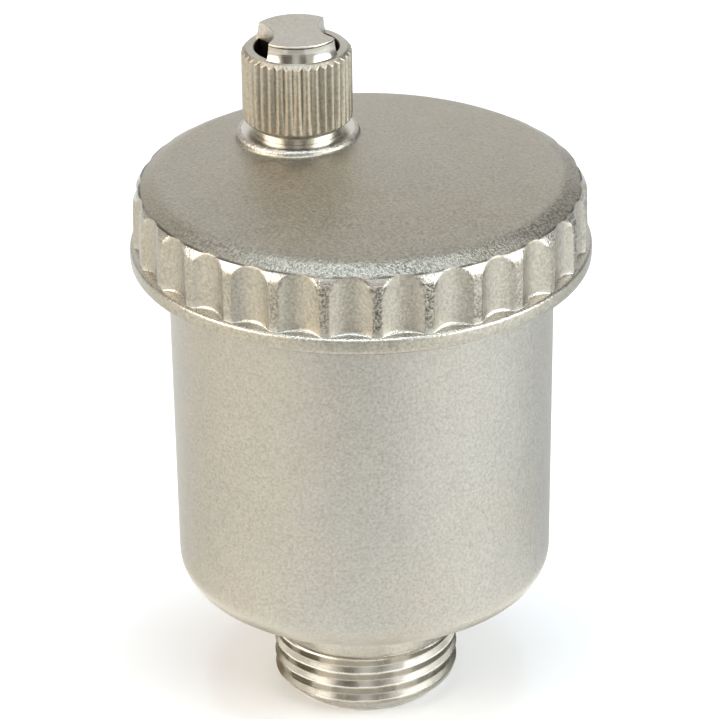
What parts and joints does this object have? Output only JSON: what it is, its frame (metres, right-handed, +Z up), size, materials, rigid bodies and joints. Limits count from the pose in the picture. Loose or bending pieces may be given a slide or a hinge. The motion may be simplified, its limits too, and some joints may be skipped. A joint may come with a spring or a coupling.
{
  "type": "air release valve",
  "caption": "Automatic float air vent: round plated brass cup with a male inlet thread, a fluted screw cover and an off-centre knurled vent cap.",
  "frame": {"origin": "on the main axis, at the end face of the inlet thread", "axes": "+Z up along the main axis from the inlet thread to the cover; the vent spigot is towards -X"},
  "size_m": [0.0512, 0.0512, 0.0769],
  "materials": {
    "nickel_blasted": "sand-blasted, nickel-plated",
    "nickel_turned": "turned, nickel-plated",
    "bare_brass": "turned, bare",
    "bright_steel": "bright stainless",
    "seal_rubber": "matt moulded",
    "float_plastic": "moulded polypropylene"
  },
  "bodies": {
    "cup": {"body": "nickel_blasted"},
    "cover_seal": {"cover_o_ring": "seal_rubber"},
    "screw_cover": {"cover": "nickel_blasted", "valve_seat": "bare_brass", "lever_bracket": "bright_steel", "bracket_screws": "bright_steel", "lever_pivot_pin": "bright_steel", "pivot_pin_clips": "bright_steel"},
    "cap_seal": {"cap_washer": "seal_rubber"},
    "cap": {"vent_cap": "nickel_turned", "cap_plug": "nickel_turned"},
    "float": {"float_shell": "float_plastic", "float_lid": "float_plastic", "float_eye": "bare_brass", "float_link_pin": "bright_steel"},
    "float_lever": {"lever": "bright_steel"},
    "obturator": {"obturator_stem": "bare_brass", "obturator_seal": "seal_rubber", "stem_spring": "bright_steel", "spring_retainer": "bright_steel", "stem_link_pin": "bright_steel"}
  },
  "joints": [
    {"name": "cover_rise", "type": "slide", "parent": "cup", "child": "cover_seal", "axis": [0, 0, 1], "range_m": [0, 0.0061]},
    {"name": "cover_turn", "type": "hinge", "parent": "cover_seal", "child": "screw_cover", "pos_m": [0, 0, 0.0536], "axis": [0, 0, 1], "range_deg": [0, 1440]},
    {"name": "cap_rise", "type": "slide", "parent": "screw_cover", "child": "cap_seal", "axis": [0, 0, 1], "range_m": [0, 0.0021]},
    {"name": "cap_turn", "type": "hinge", "parent": "cap_seal", "child": "cap", "pos_m": [-0.0111, 0, 0.06636], "axis": [0, 0, 1], "range_deg": [0, 720]},
    {"name": "float_lift", "type": "slide", "parent": "screw_cover", "child": "float", "axis": [0, 0, 1], "range_m": [0, 0.00525]},
    {"name": "lever_tilt", "type": "hinge", "parent": "screw_cover", "child": "float_lever", "pos_m": [-0.0156, 0, 0.05588], "axis": [0, -1, 0], "range_deg": [0, 19.4]},
    {"name": "stem_rise", "type": "slide", "parent": "screw_cover", "child": "obturator", "axis": [0, 0, 1], "range_m": [0, 0.00152], "deforming": ["stem_spring"]}
  ],
  "couplings": [
    {"joint": "cover_rise", "follows": "cover_turn", "m_per_rad": 0.00023873},
    {"joint": "cap_rise", "follows": "cap_turn", "m_per_rad": 0.00015915},
    {"joint": "lever_tilt", "follows": "float_lift", "rad_per_m": 64.41},
    {"joint": "stem_rise", "follows": "float_lift", "ratio": 0.28846}
  ]
}
